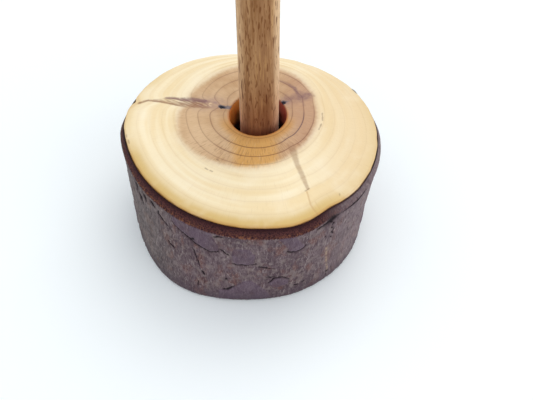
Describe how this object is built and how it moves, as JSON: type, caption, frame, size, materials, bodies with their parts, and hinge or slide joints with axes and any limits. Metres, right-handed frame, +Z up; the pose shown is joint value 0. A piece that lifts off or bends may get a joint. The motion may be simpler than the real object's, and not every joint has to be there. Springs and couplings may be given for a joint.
{
  "type": "drop spindle",
  "caption": "Top-whorl drop spindle with a brass hook, standing loosely in a bored log stand that keeps its bark.",
  "frame": {"origin": "on the spindle's axis, at the stand's flat underside", "axes": "+Z up along the spindle, -Y towards the front of the stand, +X to the right seen from the front"},
  "size_m": [0.0804, 0.0777, 0.3074],
  "materials": {
    "log_wood": "sanded end grain",
    "bark": "rough natural bark",
    "shaft_wood": "oiled straight grain",
    "whorl_wood": "turned and oiled",
    "hook_brass": "bright brass",
    "collar_brass": "pressed brass"
  },
  "bodies": {
    "stand": {"stand_log": "log_wood", "stand_bark": "bark"},
    "spindle": {"spindle_shaft": "shaft_wood", "whorl": "whorl_wood", "hook": "hook_brass", "hook_collar": "collar_brass"}
  },
  "joints": [
    {"name": "spindle_spin", "type": "hinge", "parent": "stand", "child": "spindle", "pos_m": [0, 0, 0.0083], "axis": [0, 0, 1], "continuous": true}
  ]
}
